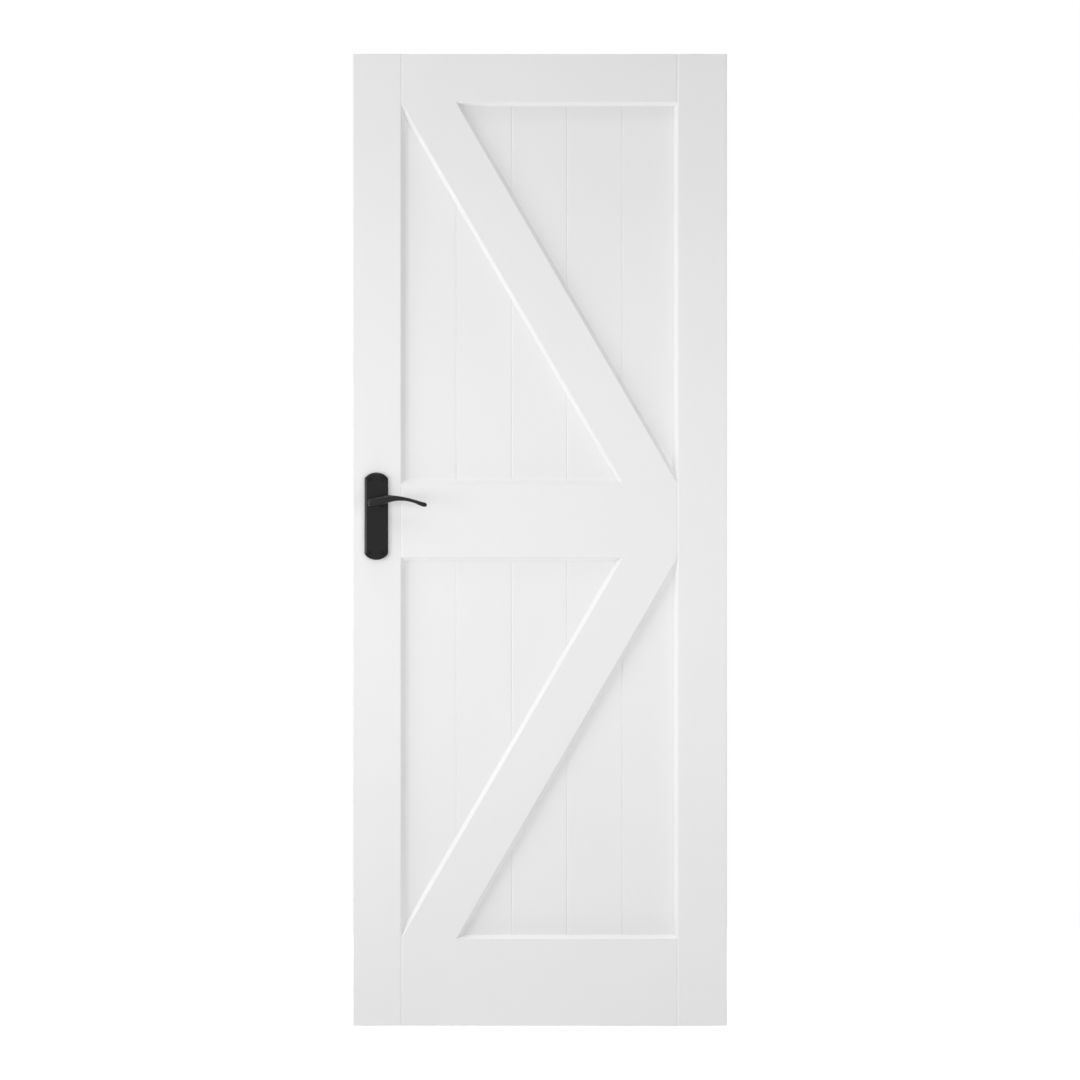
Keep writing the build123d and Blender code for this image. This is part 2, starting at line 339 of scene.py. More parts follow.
    def ready(self, body: str, slot: str, finish: bpy.types.Material, *nodes: str) -> None:
        """Hands the piece over to the frame.

        Args:
            body: The CAD body that it moves with.
            slot: Not used.
            finish: Its material.
            nodes: The CAD nodes that it stands for.
        """
        self.body.data.materials.clear()
        self.body.data.materials.append(finish)
        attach(self.body, body)
        if nodes:
            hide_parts(*nodes)
        faces = len(self.body.data.polygons)
        LOG.info("%s: %d faces, %s, on %s", self.body.name, faces, finish.name, body)


class Grain(Enum):
    """Which way the wood under the paint runs, as its turn about Y in degrees from upright."""

    UPRIGHT = 0.0
    ACROSS = 90.0
    RISING = 30.3
    FALLING = -30.3


@dataclass(frozen=True)
class SatinPaint:
    """Satin white paint, sprayed over primed softwood.

    The eye gets an even white with a soft sheen, a fine orange peel from the spray gun, and a trace
    of the wood running with the grain. The wood's lines are drawn as coarse as its growth rings,
    because single fibres are too fine to show.
    """

    colour: str = "#f0f0f0"
    thin_colour: str = "#ededed"
    ior: float = 1.5
    roughness: float = 0.42
    sheen_spread: float = 0.04
    peel_mm: float = 2.2
    peel_height_mm: float = 0.02
    fibre_width_mm: float = 1.6
    fibre_length_mm: float = 70.0
    fibre_height_mm: float = 0.045
    cloud_mm: float = 260.0

    def material(self, grain: Grain) -> bpy.types.Material:
        """Makes the paint for members whose wood runs one way.

        Args:
            grain: The direction of the wood under the paint.

        Returns:
            The finished material.
        """
        made, shader = new_material(f"satin white paint sprayed on wood, {grain.name.lower()}")
        tree = made.node_tree
        place = add_node(tree, "ShaderNodeTexCoord").outputs["Object"]
        # The wood is turned back to upright, and the pattern is then stretched along it.
        upright = add_node(
            tree,
            "ShaderNodeMapping",
            inputs={"Vector": place, "Rotation": (0.0, -math.radians(grain.value), 0.0)},
        ).outputs["Vector"]
        across = 1 / (self.fibre_width_mm * MM)
        along = 1 / (self.fibre_length_mm * MM)
        stretched = add_node(
            tree,
            "ShaderNodeMapping",
            inputs={"Vector": upright, "Scale": (across, across, along)},
        ).outputs["Vector"]
        fibres = add_node(
            tree,
            "ShaderNodeTexNoise",
            inputs={"Vector": stretched, "Scale": 1.0, "Detail": 3.0, "Roughness": 0.6},
        ).outputs["Fac"]
        peel = add_node(
            tree,
            "ShaderNodeTexNoise",
            inputs={"Vector": place, "Scale": 1 / (self.peel_mm * MM), "Detail": 1.0},
        ).outputs["Fac"]
        clouds = add_node(
            tree,
            "ShaderNodeTexNoise",
            inputs={"Vector": place, "Scale": 1 / (self.cloud_mm * MM), "Detail": 2.0},
        ).outputs["Fac"]
        tone = add_node(
            tree,
            "ShaderNodeMix",
            settings={"data_type": "RGBA"},
            inputs={
                "Factor": clouds,
                FIRST_COLOUR: from_hex(self.thin_colour),
                SECOND_COLOUR: from_hex(self.colour),
            },
        ).outputs[MIXED_COLOUR]
        sheen = add_node(
            tree,
            "ShaderNodeMapRange",
            inputs={
                "Value": clouds,
                "From Min": NOISE_LOW,
                "From Max": NOISE_HIGH,
                "To Min": self.roughness - self.sheen_spread,
                "To Max": self.roughness + self.sheen_spread,
            },
        ).outputs["Result"]
        lines = add_node(
            tree,
            "ShaderNodeBump",
            inputs={"Height": fibres, "Strength": 1.0, "Distance": self.fibre_height_mm * MM},
        ).outputs["Normal"]
        surface = add_node(
            tree,
            "ShaderNodeBump",
            inputs={
                "Height": peel,
                "Strength": 1.0,
                "Distance": self.peel_height_mm * MM,
                "Normal": lines,
            },
        ).outputs["Normal"]
        tree.links.new(tone, shader.inputs["Base Color"])
        tree.links.new(sheen, shader.inputs["Roughness"])
        tree.links.new(surface, shader.inputs["Normal"])
        shader.inputs["IOR"].default_value = self.ior
        return made


@dataclass(frozen=True)
class BlackPowderCoat:
    """Black powder coat on cast iron, blasted before it was coated.

    The eye gets a soft black with a fine pebbled skin and broad, silky highlights. Where hands
    have rubbed it, the skin is flatter and the highlights are tighter.
    """

    wear: str = "as coated"
    colour: str = "#070707"
    worn_colour: str = "#0c0c0c"
    roughness: float = 0.3
    sheen_spread: float = 0.06
    specular: float = 0.17
    pebble_mm: float = 0.9
    pebble_height_mm: float = 0.05
    casting_mm: float = 9.0
    casting_height_mm: float = 0.12

    def material(self) -> bpy.types.Material:
        """Makes the coat.

        Returns:
            The finished material.
        """
        made, shader = new_material(f"black powder coat on cast iron, {self.wear}")
        tree = made.node_tree
        place = add_node(tree, "ShaderNodeTexCoord").outputs["Object"]
        casting = add_node(
            tree,
            "ShaderNodeTexNoise",
            inputs={"Vector": place, "Scale": 1 / (self.casting_mm * MM), "Detail": 2.0},
        ).outputs["Fac"]
        pebbles = add_node(
            tree,
            "ShaderNodeTexNoise",
            inputs={"Vector": place, "Scale": 1 / (self.pebble_mm * MM), "Detail": 2.0},
        ).outputs["Fac"]
        tone = add_node(
            tree,
            "ShaderNodeMix",
            settings={"data_type": "RGBA"},
            inputs={
                "Factor": casting,
                FIRST_COLOUR: from_hex(self.colour),
                SECOND_COLOUR: from_hex(self.worn_colour),
            },
        ).outputs[MIXED_COLOUR]
        sheen = add_node(
            tree,
            "ShaderNodeMapRange",
            inputs={
                "Value": pebbles,
                "From Min": NOISE_LOW,
                "From Max": NOISE_HIGH,
                "To Min": self.roughness - self.sheen_spread,
                "To Max": self.roughness + self.sheen_spread,
            },
        ).outputs["Result"]
        waves = add_node(
            tree,
            "ShaderNodeBump",
            inputs={"Height": casting, "Strength": 1.0, "Distance": self.casting_height_mm * MM},
        ).outputs["Normal"]
        skin = add_node(
            tree,
            "ShaderNodeBump",
            inputs={
                "Height": pebbles,
                "Strength": 1.0,
                "Distance": self.pebble_height_mm * MM,
                "Normal": waves,
            },
        ).outputs["Normal"]
        tree.links.new(tone, shader.inputs["Base Color"])
        tree.links.new(sheen, shader.inputs["Roughness"])
        tree.links.new(skin, shader.inputs["Normal"])
        shader.inputs["Specular IOR Level"].default_value = self.specular
        return made


@dataclass(frozen=True)
class BrightZinc:
    """Bright zinc plate on drawn steel bar.

    The eye gets a cool grey metal with fine lines from the drawing die along the bar, a little
    coarser than real ones so that they show.
    """

    colour: str = "#b4b7ba"
    dull_colour: str = "#9fa2a6"
    roughness: float = 0.32
    line_mm: float = 0.25
    line_length_mm: float = 12.0
    line_height_mm: float = 0.004

    def material(self) -> bpy.types.Material:
        """Makes the plating.

        Returns:
            The finished material.
        """
        made, shader = new_material("bright zinc plate on drawn steel")
        tree = made.node_tree
        place = add_node(tree, "ShaderNodeTexCoord").outputs["Object"]
        across = 1 / (self.line_mm * MM)
        along = 1 / (self.line_length_mm * MM)
        drawn = add_node(
            tree,
            "ShaderNodeMapping",
            inputs={"Vector": place, "Scale": (across, along, across)},
        ).outputs["Vector"]
        lines = add_node(
            tree,
            "ShaderNodeTexNoise",
            inputs={"Vector": drawn, "Scale": 1.0, "Detail": 2.0},
        ).outputs["Fac"]
        tone = add_node(
            tree,
            "ShaderNodeMix",
            settings={"data_type": "RGBA"},
            inputs={
                "Factor": lines,
                FIRST_COLOUR: from_hex(self.dull_colour),
                SECOND_COLOUR: from_hex(self.colour),
            },
        ).outputs[MIXED_COLOUR]
        skin = add_node(
            tree,
            "ShaderNodeBump",
            inputs={"Height": lines, "Strength": 1.0, "Distance": self.line_height_mm * MM},
        ).outputs["Normal"]
        tree.links.new(tone, shader.inputs["Base Color"])
        tree.links.new(skin, shader.inputs["Normal"])
        shader.inputs["Metallic"].default_value = 1.0
        shader.inputs["Roughness"].default_value = self.roughness
        return made


@dataclass(frozen=True)
class BlackOxide:
    """Black oxide on steel screws, dipped hot and oiled.

    The eye gets a duller and deeper black than the coat's, with rubbed spots of dark grey.
    """

    colour: str = "#050505"
    worn_colour: str = "#0d0d0e"
    roughness: float = 0.45
    specular: float = 0.15
    rub_mm: float = 1.4

    def material(self) -> bpy.types.Material:
        """Makes the blacking.

        Returns:
            The finished material.
        """
        made, shader = new_material("black oxide on steel screws")
        tree = made.node_tree
        place = add_node(tree, "ShaderNodeTexCoord").outputs["Object"]
        rubs = add_node(
            tree,
            "ShaderNodeTexNoise",
            inputs={"Vector": place, "Scale": 1 / (self.rub_mm * MM), "Detail": 2.0},
        ).outputs["Fac"]
        tone = add_node(
            tree,
            "ShaderNodeMix",
            settings={"data_type": "RGBA"},
            inputs={
                "Factor": rubs,
                FIRST_COLOUR: from_hex(self.colour),
                SECOND_COLOUR: from_hex(self.worn_colour),
            },
        ).outputs[MIXED_COLOUR]
        tree.links.new(tone, shader.inputs["Base Color"])
        shader.inputs["Roughness"].default_value = self.roughness
        shader.inputs["Specular IOR Level"].default_value = self.specular
        return made


@dataclass(frozen=True)
class Lamp:
    """A soft rectangular lamp, by its offset from the leaf's middle, its size and its watts."""

    name: str
    offset: Triple
    size: tuple[float, float]
    power: float

    def set_up(self, middle: Vector) -> None:
        """Sets the lamp in its place, turned to the leaf's middle.

        Args:
            middle: The middle of the leaf.
        """
        lamp = bpy.data.lights.new(self.name, "AREA")
        lamp.shape = "RECTANGLE"
        lamp.size, lamp.size_y = self.size
        lamp.energy = self.power
        stand = bpy.data.objects.new(self.name, lamp)
        stand.visible_camera = False
        stand.location = middle + Vector(self.offset)
        stand.rotation_euler = (-Vector(self.offset)).to_track_quat("-Z", "Y").to_euler()
        bpy.context.scene.collection.objects.link(stand)


@dataclass
class Studio:
    """The camera, the pale floor, the white surround and the soft lamps, in metres.

    The frame's height is what the photograph spans from its top to its bottom at the leaf's front.
    """

    camera_distance: float = 12.0
    camera_reach: float = 100.0
    sensor_mm: float = 36.0
    frame_height: float = 2.2011
    floor_size: float = 6.0
    floor_colour: str = "#c8c8c8"
    floor_roughness: float = 0.9
    floor_specular: float = 0.1
    floor_lift: float = 0.9
    world_level: float = 0.124
    lamps: tuple[Lamp, ...] = (
        Lamp("key_far_left", (-2.51, -0.67, 0.0), (0.4, 0.8), 12.0),
        Lamp("key_left", (-2.25, -1.3, 0.0), (0.4, 0.8), 12.0),
        Lamp("fill_right", (1.84, -1.84, 0.0), (0.8, 1.6), 15.7),
        Lamp("fill_front", (-0.2, -1.4, 0.0), (1.6, 1.2), 5.3),
        Lamp("over_left", (-2.6, -2.2, 2.6), (1.8, 1.8), 32.0),
        Lamp("over_high", (-0.4, -2.6, 3.1), (2.4, 1.8), 14.0),
        Lamp("over_front", (-0.4, -1.1, 4.2), (2.0, 0.6), 35.5),
        Lamp("under_front", (-0.4, -1.1, -5.2), (4.0, 1.6), 58.0),
        Lamp("back_left", (-0.9, 2.6, 0.2), (1.4, 1.6), 25.0),
        Lamp("back_right", (1.9, 2.0, 0.5), (0.8, 1.6), 30.0),
    )

    def build(self, low: Vector, high: Vector) -> None:
        """Places everything around the leaf.

        Args:
            low: The lowest corner of the leaf's stiles.
            high: The highest corner of the leaf's stiles.
        """
        middle = (low + high) / 2
        self.place_camera(middle, low.y)
        self.lay_floor(middle, low.z)
        self.surround()
        for lamp in self.lamps:
            lamp.set_up(middle)

    def place_camera(self, middle: Vector, front: float) -> None:
        """Sets the camera square on to the leaf's front face.

        Args:
            middle: The middle of the leaf.
            front: The place of the front face on Y.
        """
        camera = bpy.data.cameras.new("camera")
        camera.sensor_width = self.sensor_mm
        camera.lens = self.sensor_mm * self.camera_distance / self.frame_height
        camera.clip_end = self.camera_reach
        stand = bpy.data.objects.new("camera", camera)
        stand.location = (middle.x, front - self.camera_distance, middle.z)
        stand.rotation_euler = (math.radians(90), 0.0, 0.0)
        bpy.context.scene.collection.objects.link(stand)
        bpy.context.scene.camera = stand

    def lay_floor(self, middle: Vector, level: float) -> None:
        """Lays a plain pale floor under the leaf.

        It throws no shadow itself, so the low lamp reaches the leaf through it.

        Args:
            middle: The middle of the leaf.
            level: The height of the floor.
        """
        place = (middle.x, middle.y, level)
        bpy.ops.mesh.primitive_plane_add(size=self.floor_size, location=place)
        floor = bpy.context.object
        floor.name = "floor"
        floor.visible_shadow = False
        floor.data.materials.append(self.floor_finish())

    def floor_finish(self) -> bpy.types.Material:
        """Makes the floor's matt white, which looks white itself but keeps the leaf's shadow.

        Returns:
            The finished material.
        """
        made, shader = new_material("matt white studio floor")
        tree = made.node_tree
        shader.inputs["Base Color"].default_value = from_hex(self.floor_colour)
        shader.inputs["Roughness"].default_value = self.floor_roughness
        shader.inputs["Specular IOR Level"].default_value = self.floor_specular
        rays = add_node(tree, "ShaderNodeLightPath").outputs
        seen = add_node(
            tree,
            "ShaderNodeMath",
            settings={"operation": "MAXIMUM"},
            inputs={0: rays["Is Camera Ray"], 1: rays["Is Glossy Ray"]},
        ).outputs[0]
        strength = add_node(
            tree,
            "ShaderNodeMath",
            settings={"operation": "MULTIPLY"},
            inputs={0: seen, 1: self.floor_lift},
        ).outputs[0]
        lift = add_node(tree, "ShaderNodeEmission", inputs={"Strength": strength})
        both = add_node(
            tree,
            "ShaderNodeAddShader",
            inputs={0: shader.outputs["BSDF"], 1: lift.outputs["Emission"]},
        )
        tree.links.new(both.outputs[0], tree.nodes["Material Output"].inputs["Surface"])
        return made

    def surround(self) -> None:
        """Makes the world white to the camera and a soft even light to the rest."""
        world = bpy.data.worlds.new("white surround")
        bpy.context.scene.world = world
        world.use_nodes = True
        tree = world.node_tree
        tree.nodes.clear()
        rays = add_node(tree, "ShaderNodeLightPath").outputs
        direct = add_node(
            tree,
            "ShaderNodeMath",
            settings={"operation": "MAXIMUM"},
            inputs={0: rays["Is Camera Ray"], 1: rays["Is Glossy Ray"]},
        ).outputs[0]
        seen = add_node(
            tree,
            "ShaderNodeMath",
            settings={"operation": "MAXIMUM"},
            inputs={0: direct, 1: rays["Is Transmission Ray"]},
        ).outputs[0]
        level = add_node(
            tree,
            "ShaderNodeMapRange",
            inputs={"Value": seen, "To Min": self.world_level, "To Max": 1.0},
        ).outputs["Result"]
        light = add_node(
            tree,
            "ShaderNodeBackground",
            inputs={"Color": (1.0, 1.0, 1.0, 1.0), "Strength": level},
        ).outputs["Background"]
        add_node(tree, "ShaderNodeOutputWorld", inputs={"Surface": light})


@dataclass
class Leaf:
    """The painted leaf: its frame, boards and braces, with their arrises rounded by the paint.

    Lengths are in millimetres and turns in degrees.
    """

    paint: SatinPaint = SatinPaint()
    face_band: float = 0.2
    arris: float = 0.4
    arris_steps: int = 2
    sharp_turn: float = 15.0
    flat_turn: float = 0.5

    def build(self) -> None:
        """Eases and paints every wooden member, with the fibres running along it."""
        paints = {grain: self.paint.material(grain) for grain in Grain}
        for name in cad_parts:
            grain = self.grain_of(name)
            if grain is None:
                continue
            member = self.ease(name)
            member.ready("leaf", "painted_wood", paints[grain], name)

    def grain_of(self, name: str) -> Grain | None:
        """Says which way a member's wood runs.

        Args:
            name: The CAD node's name.

        Returns:
            The direction, or None where the node isn't wood.
        """
        if name.endswith("_rail"):
            return Grain.ACROSS
        if name.startswith("upper_brace"):
            return Grain.FALLING
        if name.startswith("lower_brace"):
            return Grain.RISING
        if name.endswith("_stile") or "_board_" in name:
            return Grain.UPRIGHT
        return None

    def ease(self, name: str) -> Piece:
        """Copies a member, joins its loose triangles and rounds the arrises on both faces.

        Args:
            name: The CAD node's name.

        Returns:
            The eased member.
        """
        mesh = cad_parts[name].data.copy()
        body = bpy.data.objects.new(name, mesh)
        bpy.context.scene.collection.objects.link(body)
        member = Piece(body, f"painted_{name}")
        member.seal()
        member.open_up()
        bpy.ops.mesh.dissolve_limited(angle_limit=math.radians(self.flat_turn))
        bpy.ops.mesh.select_mode(type="EDGE")
        bpy.ops.mesh.select_all(action="DESELECT")
        bpy.ops.mesh.edges_select_sharp(sharpness=math.radians(self.sharp_turn))
        bpy.ops.object.mode_set(mode="OBJECT")
        arrises = self.arrises_on(mesh, planted="_brace_" in name)
        bpy.ops.object.mode_set(mode="EDIT")
        bpy.ops.mesh.select_all(action="DESELECT")
        bpy.ops.object.mode_set(mode="OBJECT")
        for index in arrises:
            mesh.edges[index].select = True
        bpy.ops.object.mode_set(mode="EDIT")
        bpy.ops.mesh.bevel(
            offset=self.arris * MM,
            segments=self.arris_steps,
            affect="EDGES",
            clamp_overlap=False,
        )
        bpy.ops.object.mode_set(mode="OBJECT")
        member.smooth()
        return member

    def arrises_on(self, mesh: bpy.types.Mesh, planted: bool) -> list[int]:
        """Finds the arrises among a member's sharp edges, which are selected.

        A brace runs into the rails with no joint line, so its level ends stay sharp.

        Args:
            mesh: The member's mesh.
            planted: Whether the member is a brace, planted on the boards.

        Returns:
            The numbers of the edges that are rounded.
        """
        face = max(abs(point.co.y) for point in mesh.vertices) - self.face_band * MM
        arrises = []
        for edge in mesh.edges:
            start, end = (mesh.vertices[point].co for point in edge.vertices)
            on_face = min(abs(start.y), abs(end.y)) > face
            level = abs(start.z - end.z) < WELD
            if edge.select and on_face and not (planted and level):
                arrises.append(edge.index)
        return arrises


@dataclass
class Plate:
    """The long plate behind a lever, in millimetres, with its journal and screw holes."""

    width: float = 48.0
    height: float = 178.0
    thickness: float = 8.0
    end_radius: float = 30.0
    corner_radius: float = 6.0
    bevel_run: float = 4.5
    bevel_depth: float = 3.0
    arris: float = 0.5
    arris_steps: int = 3
    arris_turn: float = 20.0
    journal_hole_radius: float = 9.3
    spindle_rise: float = 27.0
    screw_across: float = 27.0
    screw_up: float = 149.0
    screw_radius: float = 2.2
    sink_radius: float = 4.2
    sink_angle: float = COUNTERSINK
    overcut: float = 1.0
    corner_steps: int = 8
    end_steps: int = 16
    hole_steps: int = 48

    def make(self, name: str) -> Piece:
        """Models the plate, its back on the XZ plane and its front towards -Y.

        Args:
            name: The piece's name.

        Returns:
            The plate, its middle at the origin.
        """
        half = self.width / 2
        end_middle = self.height / 2 - self.end_radius
        corner_x = half - self.corner_radius
        corner_rise = math.sqrt((self.end_radius - self.corner_radius) ** 2 - corner_x**2)
        corner_z = end_middle + corner_rise
        turn = math.atan2(corner_rise, corner_x)
        # A quarter of the outline: half a side, a rounded corner and half a rounded end.
        plate = Piece.point(name, metres(half, 0.0, 0.0))
        plate.draw(metres(0.0, 0.0, corner_z))
        bpy.ops.mesh.spin(
            steps=self.corner_steps,
            angle=turn,
            center=metres(corner_x, 0.0, corner_z),
            axis=(0, 1, 0),
        )
        bpy.ops.mesh.spin(
            steps=self.end_steps,
            angle=math.pi / 2 - turn,
            center=metres(0.0, 0.0, end_middle),
            axis=(0, 1, 0),
        )
        plate.modify("MIRROR", use_axis=(True, False, True), merge_threshold=WELD)
        plate.open_up()
        bpy.ops.mesh.remove_doubles(threshold=WELD)
        bpy.ops.mesh.edge_face_add()
        plate.draw(metres(0.0, self.bevel_depth - self.thickness, 0.0))
        bpy.ops.mesh.inset(thickness=self.bevel_run * MM, depth=0.0)
        bpy.ops.transform.translate(value=metres(0.0, -self.bevel_depth, 0.0))
        plate.seal()
        plate.modify(
            "BEVEL",
            width=self.arris * MM,
            segments=self.arris_steps,
            limit_method="ANGLE",
            angle_limit=math.radians(self.arris_turn),
        )
        self.pierce(plate)
        plate.smooth()
        return plate

    def pierce(self, plate: Piece) -> None:
        """Cuts the journal hole and the four countersunk screw holes.

        Args:
            plate: The plate that is cut.
        """
        before = -self.thickness - self.overcut
        bore = [
            (0.0, before),
            (self.journal_hole_radius, before),
            (self.journal_hole_radius, self.overcut),
            (0.0, self.overcut),
        ]
        cutter = Piece.turned("journal_cutter", profile_in_metres(bore), self.hole_steps)
        cutter.place(metres(0.0, 0.0, self.spindle_rise))
        plate.join(cutter, Joining.CUT_AWAY)
        slope = math.tan(math.radians(self.sink_angle / 2))
        sink_depth = (self.sink_radius - self.screw_radius) / slope
        sink = [
            (0.0, before),
            (self.sink_radius + self.overcut * slope, before),
            (self.screw_radius, sink_depth - self.thickness),
            (self.screw_radius, self.overcut),
            (0.0, self.overcut),
        ]
        for x, z in self.screw_places():
            cutter = Piece.turned("sink_cutter", profile_in_metres(sink), self.hole_steps)
            cutter.place(metres(x, 0.0, z))
            plate.join(cutter, Joining.CUT_AWAY)

    def screw_places(self) -> list[tuple[float, float]]:
        """Places the four screws.

        Returns:
            How far each lies across and up from the plate's middle.
        """
        across = self.screw_across / 2
        up = self.screw_up / 2
        return [(x, z) for z in (up, -up) for x in (-across, across)]


@dataclass
class Screw:
    """A slotted raised-countersunk wood screw, in millimetres.

    The dome of its head goes through points that are shares of the head's radius and rise.
    """

    head_radius: float = 3.9
    head_rise: float = 0.5
    head_rim: float = 0.25
    head_sink: float = 0.1
    dome: tuple[tuple[float, float], ...] = (
        (0.0, 1.0),
        (0.35, 0.9),
        (0.7, 0.55),
        (0.95, 0.12),
        (1.0, 0.0),
    )
    shank_radius: float = 1.75
    tip_start: float = 17.0
    length: float = 22.0
    sink_angle: float = COUNTERSINK
    slot_width: float = 1.1
    slot_depth: float = 1.2
    cutter_length: float = 11.7
    steps: int = 32

    def make(self, name: str, slot_turn: float) -> Piece:
        """Models one screw, its head's rim at the origin and its tip towards +Y.

        Args:
            name: The piece's name.
            slot_turn: How far the slot is turned, in degrees.

        Returns:
            The screw.
        """
        slope = math.tan(math.radians(self.sink_angle / 2))
        cone = (self.head_radius - self.shank_radius) / slope
        profile = [(self.head_radius * out, -self.head_rise * up) for out, up in self.dome]
        profile += [
            (self.head_radius, self.head_rim),
            (self.shank_radius, self.head_rim + cone),
            (self.shank_radius, self.tip_start),
            (0.0, self.length),
        ]
        screw = Piece.turned(name, profile_in_metres(profile), self.steps)
        # The cutter's middle lies on the dome's top, so half of its depth cuts.
        cutter = metres(self.cutter_length, self.slot_depth * 2, self.slot_width)
        slot = Piece.block("slot_cutter", (0.0, 0.0, 0.0), cutter)
        slot.place(metres(0.0, -self.head_rise, 0.0))
        slot.open_up()
        bpy.ops.transform.rotate(
            value=math.radians(slot_turn), orient_axis="Y", center_override=(0, 0, 0)
        )
        bpy.ops.object.mode_set(mode="OBJECT")
        screw.join(slot, Joining.CUT_AWAY)
        screw.smooth()
        return screw


@dataclass(frozen=True)
class Station:
    """A cross section of the lever's cage, in millimetres.

    It has its place along the lever, the rise of its middle, how far it leans away from the leaf,
    its height and its depth.
    """

    along: float
    rise: float
    lean: float
    height: float
    depth: float


@dataclass
class Lever:
    """The cast lever with its neck, collar and journal, in millimetres.

    Its smooth surface is drawn from a cage through the stations. The neck's steps are each a
    distance from the middle of the leaf and a width. The collar's rounded edge has one point
    between its ends, at round_share of the rounding from either side.
    """

    arm_distance: float = 61.5
    head: tuple[Station, Station] = (
        Station(-8.6, 0.2, 0.0, 19.6, 18.4),
        Station(8.5, 3.2, 0.0, 20.4, 18.4),
    )
    round_end: Station = Station(-16.8, -0.2, 0.0, 13.0, 10.6)
    arm: tuple[Station, ...] = (
        Station(24.4, 8.3, 0.0, 17.6, 15.6),
        Station(36.6, 9.2, -0.4, 12.6, 13.6),
        Station(48.9, 8.9, -0.8, 9.8, 12.2),
        Station(61.2, 7.5, -0.8, 8.1, 11.2),
        Station(73.5, 4.7, -0.5, 7.4, 10.6),
        Station(85.8, 0.4, 0.2, 8.8, 10.0),
        Station(96.0, -3.6, 1.4, 10.8, 9.4),
        Station(104.6, -4.4, 2.2, 8.4, 7.0),
    )
    end_band: float = 0.1
    cage_levels: int = 3
    neck: tuple[tuple[float, float], ...] = ((45.0, 16.4), (36.0, 15.8), (27.6, 17.4))
    collar_back: float = 25.8
    collar_radius: float = 11.0
    collar_thickness: float = 3.0
    collar_round: float = 0.9
    round_share: float = 0.3
    journal_radius: float = 9.0
    journal_back: float = 17.8
    socket_width: float = 8.2
    socket_bottom: float = 45.8
    steps: int = 64

    def make(self, name: str) -> Piece:
        """Models the lever on the front face, with the spindle's axis at the origin.

        Args:
            name: The piece's name.

        Returns:
            The lever.
        """
        first, second = self.head
        middle = metres((first.along + second.along) / 2, -self.arm_distance, first.rise)
        size = metres(second.along - first.along, first.depth, first.height)
        lever = Piece.block(name, middle, size)
        lever.choose(lambda place, facing: facing.x > FACING)
        bpy.ops.transform.translate(value=metres(0.0, 0.0, second.rise - first.rise))
        lever.stretch(
            (1.0, 1.0, second.height / first.height),
            metres(second.along, -self.arm_distance, second.rise),
        )
        self.follow(lever, second, *self.arm)
        lever.choose(lambda place, facing: place.x < (first.along + self.end_band) * MM)
        self.follow(lever, first, self.round_end)
        self.draw_neck(lever)
        lever.seal()
        lever.modify("SUBSURF", levels=self.cage_levels, render_levels=self.cage_levels)
        lever.join(self.turn_collar(), Joining.ADDED)
        # The cutter's middle is the middle of the leaf, so half of its depth cuts.
        cutter = metres(self.socket_width, self.socket_bottom * 2, self.socket_width)
        socket = Piece.block("socket_cutter", (0.0, 0.0, 0.0), cutter)
        lever.join(socket, Joining.CUT_AWAY)
        lever.smooth()
        return lever

    def follow(self, lever: Piece, start: Station, *stations: Station) -> None:
        """Extrudes the selected end face from station to station.

        Args:
            lever: The lever's cage.
            start: The station where the end face is.
            stations: Where it goes, one after another.
        """
        here = start
        for there in stations:
            lever.draw(
                metres(there.along - here.along, here.lean - there.lean, there.rise - here.rise)
            )
            lever.stretch(
                (1.0, there.depth / here.depth, there.height / here.height),
                metres(there.along, -(self.arm_distance + there.lean), there.rise),
            )
            here = there

    def draw_neck(self, lever: Piece) -> None:
        """Extrudes the head's back face towards the plate as the neck.

        Args:
            lever: The lever's cage.
        """
        first, second = self.head
        lever.choose(
            lambda place, facing: facing.y > FACING
            and first.along * MM < place.x < second.along * MM
        )
        here = self.arm_distance - first.depth / 2
        wide = second.along - first.along
        high = (first.height + second.height) / 2
        middle = (first.along + second.along) / 2
        lift = (first.rise + second.rise) / 2
        for distance, across in self.neck:
            lever.draw(metres(-middle, here - distance, -lift))
            lever.stretch((across / wide, 1.0, across / high), metres(0.0, -distance, 0.0))
            here, wide, high, middle, lift = distance, across, across, 0.0, 0.0

    def turn_collar(self) -> Piece:
        """Turns the collar and the journal that runs in the plate.

        Returns:
            The two as one piece.
        """
        front = -(self.collar_back + self.collar_thickness)
        ease = self.collar_round
        inset = ease * self.round_share
        profile = [
            (0.0, front),
            (self.collar_radius - ease, front),
            (self.collar_radius - inset, front + inset),
            (self.collar_radius, front + ease),
            (self.collar_radius, -self.collar_back),
            (self.journal_radius, -self.collar_back),
            (self.journal_radius, -self.journal_back),
            (0.0, -self.journal_back),
        ]
        return Piece.turned("collar", profile_in_metres(profile), self.steps)


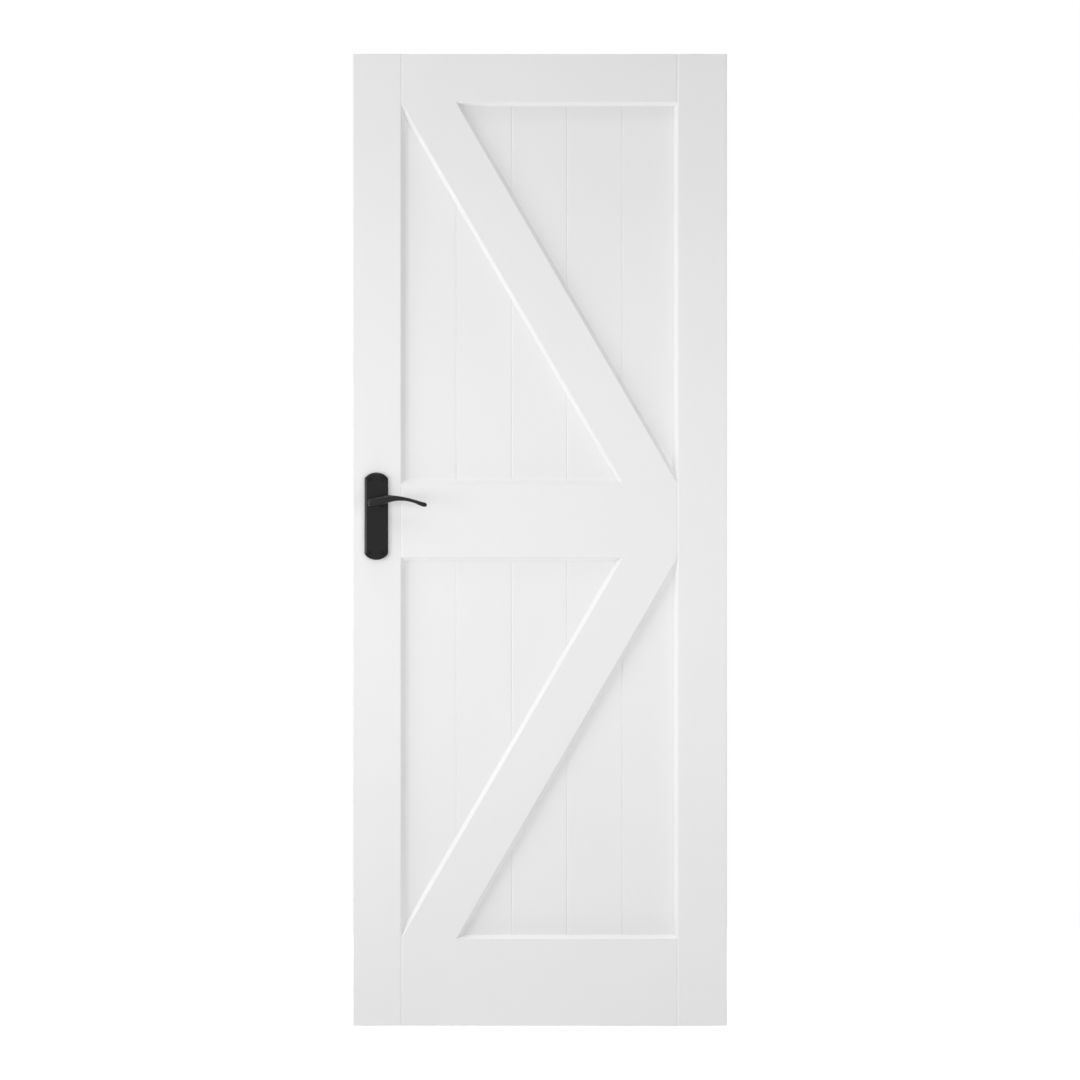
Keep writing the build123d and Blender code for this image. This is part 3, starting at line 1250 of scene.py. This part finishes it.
@dataclass
class Handles:
    """The plates, screws, levers and spindle. Each screw's slot has its own turn, in degrees."""

    plate: Plate = field(default_factory=Plate)
    screw: Screw = field(default_factory=Screw)
    lever: Lever = field(default_factory=Lever)
    coat: BlackPowderCoat = BlackPowderCoat()
    rubbed_coat: BlackPowderCoat = BlackPowderCoat(
        wear="rubbed by hands", roughness=0.25, specular=0.22, pebble_height_mm=0.02
    )
    plating: BrightZinc = BrightZinc()
    blacking: BlackOxide = BlackOxide()
    slot_turns: tuple[float, ...] = (35.0, -50.0, 62.0, 8.0)

    def build(self) -> None:
        """Models both faces' ironwork, places it on its CAD nodes and dresses it."""
        iron = self.coat.material()
        rubbed_iron = self.rubbed_coat.material()
        black = self.blacking.material()
        low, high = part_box("handle_plate_front")
        seat = ((low[0] + high[0]) / 2, high[1], (low[2] + high[2]) / 2)
        low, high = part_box("spindle")
        axis = ((low[0] + high[0]) / 2, 0.0, (low[2] + high[2]) / 2)
        plate = self.plate.make("backplate_front")
        plate.place(seat)
        lever = self.lever.make("cast_lever_front")
        lever.place(axis)
        screws = self.drive_screws(seat)
        self.dress_both_faces(plate, "leaf", iron, "handle_plate")
        self.dress_both_faces(lever, "handles", rubbed_iron, "lever")
        for screw in screws:
            self.dress_both_faces(screw, "leaf", black)
        self.dress_spindle()

    def drive_screws(self, seat: Triple) -> list[Piece]:
        """Models the front plate's screws in their holes.

        Args:
            seat: The middle of the plate's back.

        Returns:
            The screws.
        """
        head = seat[1] + (self.screw.head_sink - self.plate.thickness) * MM
        screws = []
        for count, (x, z) in enumerate(self.plate.screw_places()):
            screw = self.screw.make(f"plate_screw_front_{count + 1}", self.slot_turns[count])
            screw.place((seat[0] + x * MM, head, seat[2] + z * MM))
            screws.append(screw)
        return screws

    def dress_both_faces(
        self, front: Piece, body: str, finish: bpy.types.Material, node: str | None = None
    ) -> None:
        """Mirrors a front piece to the back face, and hands both over to the frame.

        Args:
            front: The piece on the front face.
            body: The CAD body that both move with.
            finish: Their material.
            node: The CAD nodes' name without its ending, where the two stand for such nodes.
        """
        back = front.twin(front.body.name.replace("_front", "_back"))
        back.face_the_back()
        back.smooth()
        for piece, side in ((front, "front"), (back, "back")):
            nodes = [f"{node}_{side}"] if node else []
            piece.ready(body, "black_iron", finish, *nodes)

    def dress_spindle(self) -> None:
        """Gives the square spindle its plating."""
        zinc = self.plating.material()
        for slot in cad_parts["spindle"].material_slots:
            slot.material = zinc
        LOG.info("spindle: %s", zinc.name)


def main() -> None:
    """Builds the studio, then dresses the leaf and its handles."""
    logging.basicConfig(level=logging.INFO, format="%(message)s")
    bpy.ops.object.select_all(action="DESELECT")
    bpy.context.scene.view_settings.view_transform = "Standard"
    Studio().build(*box_round("lock_stile", "hinge_stile"))
    Leaf().build()
    Handles().build()


if __name__ == "__main__":
    main()
